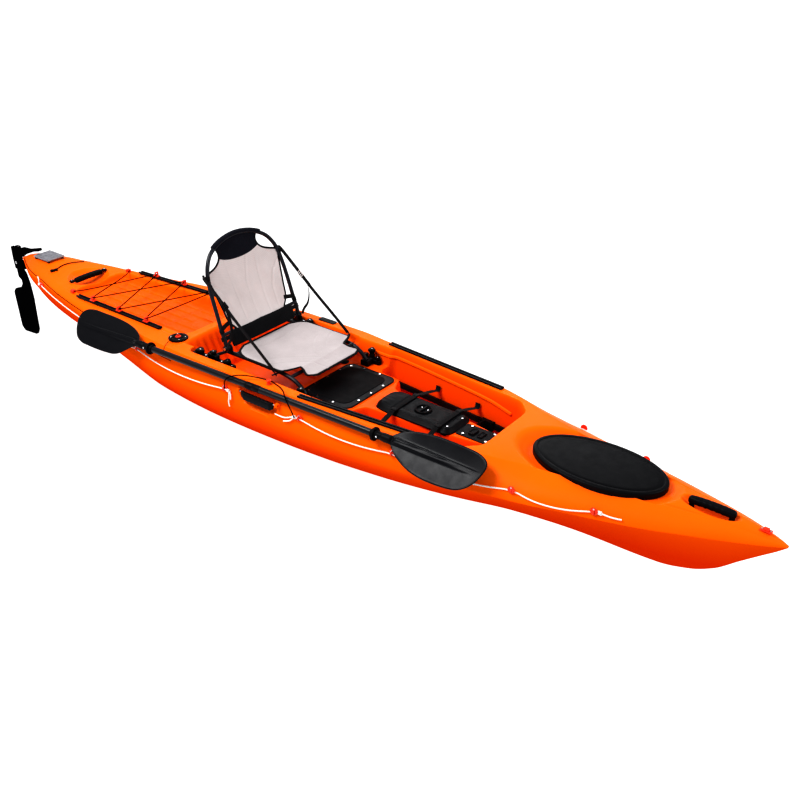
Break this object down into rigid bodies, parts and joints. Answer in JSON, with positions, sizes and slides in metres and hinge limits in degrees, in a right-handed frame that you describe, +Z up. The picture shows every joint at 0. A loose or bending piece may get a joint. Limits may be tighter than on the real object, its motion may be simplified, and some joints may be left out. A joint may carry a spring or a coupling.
{
  "type": "sit-on-top fishing kayak",
  "caption": "Sit-on-top fishing kayak with framed folding seat, bow hatch, gear pod, footwells, tracks, deck lines, kick-up rudder and a stowed double paddle.",
  "frame": {"origin": "on the flat of the keel, midships on the centreline, 2.25 m forward of the stern end's station", "axes": "+X to the bow, +Y to port, +Z up"},
  "size_m": [4.6495, 0.8873, 1.0633],
  "materials": {
    "hull_plastic": "satin rotomoulded",
    "black_rubber": "matt",
    "black_plastic": "fine texture",
    "black_gloss": "satin moulded nylon",
    "red_plastic": "moulded",
    "black_anodised": "anodised",
    "grey_plate": "satin",
    "steel": "bright",
    "white_rope": "braided",
    "black_cord": "braided",
    "beige_fabric": "woven",
    "black_webbing": "woven"
  },
  "bodies": {
    "hull": {"bow_handle": "black_rubber", "bow_pad_eye": "black_plastic", "bungee_lacing": "black_cord", "bungee_pad_eyes": "red_plastic", "console_plate": "black_plastic", "deck_line_port_aft": "white_rope", "deck_line_port_fwd": "white_rope", "deck_line_stbd_aft": "white_rope", "deck_line_stbd_fwd": "white_rope", "deck_pad_eyes": "red_plastic", "deck_screws": "steel", "foot_rail_port": "black_anodised", "foot_rail_stbd": "black_anodised", "front_plate": "black_plastic", "gear_pod": "black_plastic", "gear_pod_cap": "black_plastic", "gunwale_pad_port": "black_rubber", "gunwale_track_port": "black_anodised", "gunwale_track_stbd": "black_anodised", "hatch_gasket": "black_rubber", "hull_shell": "hull_plastic", "keeper_knob": "black_plastic", "paddle_keeper": "black_cord", "plate_screws": "steel", "pod_straps": "black_webbing", "rear_track_port": "black_anodised", "rear_track_stbd": "black_anodised", "rod_holder_port": "black_plastic", "rod_holder_stbd": "black_plastic", "rudder_bracket": "black_plastic", "rudder_line_port": "black_cord", "rudder_line_stbd": "black_cord", "seat_base_frame": "black_anodised", "seat_brackets": "black_plastic", "seat_hinge_bolts": "steel", "seat_side_straps": "black_webbing", "seat_sling": "beige_fabric", "side_handle_anchors": "black_plastic", "stern_bungee": "black_cord", "stern_handle": "black_rubber", "stern_plate": "grey_plate", "stern_plate_spacers": "black_plastic"},
    "hatch_lid": {"bow_hatch_cover": "black_plastic"},
    "port_handle": {"side_handle_port": "black_rubber"},
    "stbd_handle": {"side_handle_stbd": "black_rubber"},
    "rudder_yoke": {"rudder_head": "black_plastic", "rudder_pin": "steel"},
    "rudder_foil": {"rudder_blade": "black_gloss", "rudder_pivot_nuts": "steel"},
    "port_brace": {"foot_brace_port": "black_plastic"},
    "stbd_brace": {"foot_brace_stbd": "black_plastic"},
    "port_toe": {"toe_pedal_port": "black_rubber"},
    "stbd_toe": {"toe_pedal_stbd": "black_rubber"},
    "seat_back": {"seat_back_frame": "black_anodised", "back_sling": "beige_fabric", "lumbar_band": "black_webbing"},
    "paddle": {"paddle_shaft": "black_gloss", "paddle_drip_rings": "black_rubber", "paddle_blade_aft": "black_gloss", "paddle_blade_fwd": "black_gloss"}
  },
  "joints": [
    {"name": "hatch_lift", "type": "slide", "parent": "hull", "child": "hatch_lid", "axis": [0, 0, 1], "range_m": [0, 0.15]},
    {"name": "port_handle_swing", "type": "hinge", "parent": "hull", "child": "port_handle", "pos_m": [0.07, 0.386, 0.303], "axis": [1, 0, 0], "range_deg": [0, 100]},
    {"name": "stbd_handle_swing", "type": "hinge", "parent": "hull", "child": "stbd_handle", "pos_m": [0.07, -0.386, 0.303], "axis": [-1, 0, 0], "range_deg": [0, 100]},
    {"name": "rudder_steer", "type": "hinge", "parent": "hull", "child": "rudder_yoke", "pos_m": [-2.262, 0, 0.316], "axis": [0, 0, 1], "range_deg": [-36, 36]},
    {"name": "rudder_kick_up", "type": "hinge", "parent": "rudder_yoke", "child": "rudder_foil", "pos_m": [-2.302, 0, 0.246], "axis": [0, 1, 0], "range_deg": [0, 130]},
    {"name": "port_brace_slide", "type": "slide", "parent": "hull", "child": "port_brace", "axis": [0.9954, -0.0953, 0], "range_m": [-0.28, 0.07]},
    {"name": "stbd_brace_slide", "type": "slide", "parent": "hull", "child": "stbd_brace", "axis": [0.9954, 0.0953, 0], "range_m": [-0.28, 0.07]},
    {"name": "port_toe_tilt", "type": "hinge", "parent": "port_brace", "child": "port_toe", "pos_m": [0.88902, 0.20555, 0.19], "axis": [0.0953, 0.9954, 0], "range_deg": [-20, 20]},
    {"name": "stbd_toe_tilt", "type": "hinge", "parent": "stbd_brace", "child": "stbd_toe", "pos_m": [0.88902, -0.20555, 0.19], "axis": [-0.0953, 0.9954, 0], "range_deg": [-20, 20]},
    {"name": "seat_fold", "type": "hinge", "parent": "hull", "child": "seat_back", "pos_m": [-0.26, 0, 0.386], "axis": [0, 1, 0], "range_deg": [0, 92], "deforming": ["seat_side_straps"]},
    {"name": "paddle_draw", "type": "slide", "parent": "hull", "child": "paddle", "axis": [0.9995, 0.0313, 0], "range_m": [-0.1, 0.1]}
  ],
  "couplings": [
    {"joint": "port_toe_tilt", "follows": "rudder_steer", "ratio": -0.5},
    {"joint": "stbd_toe_tilt", "follows": "rudder_steer", "ratio": 0.5}
  ]
}
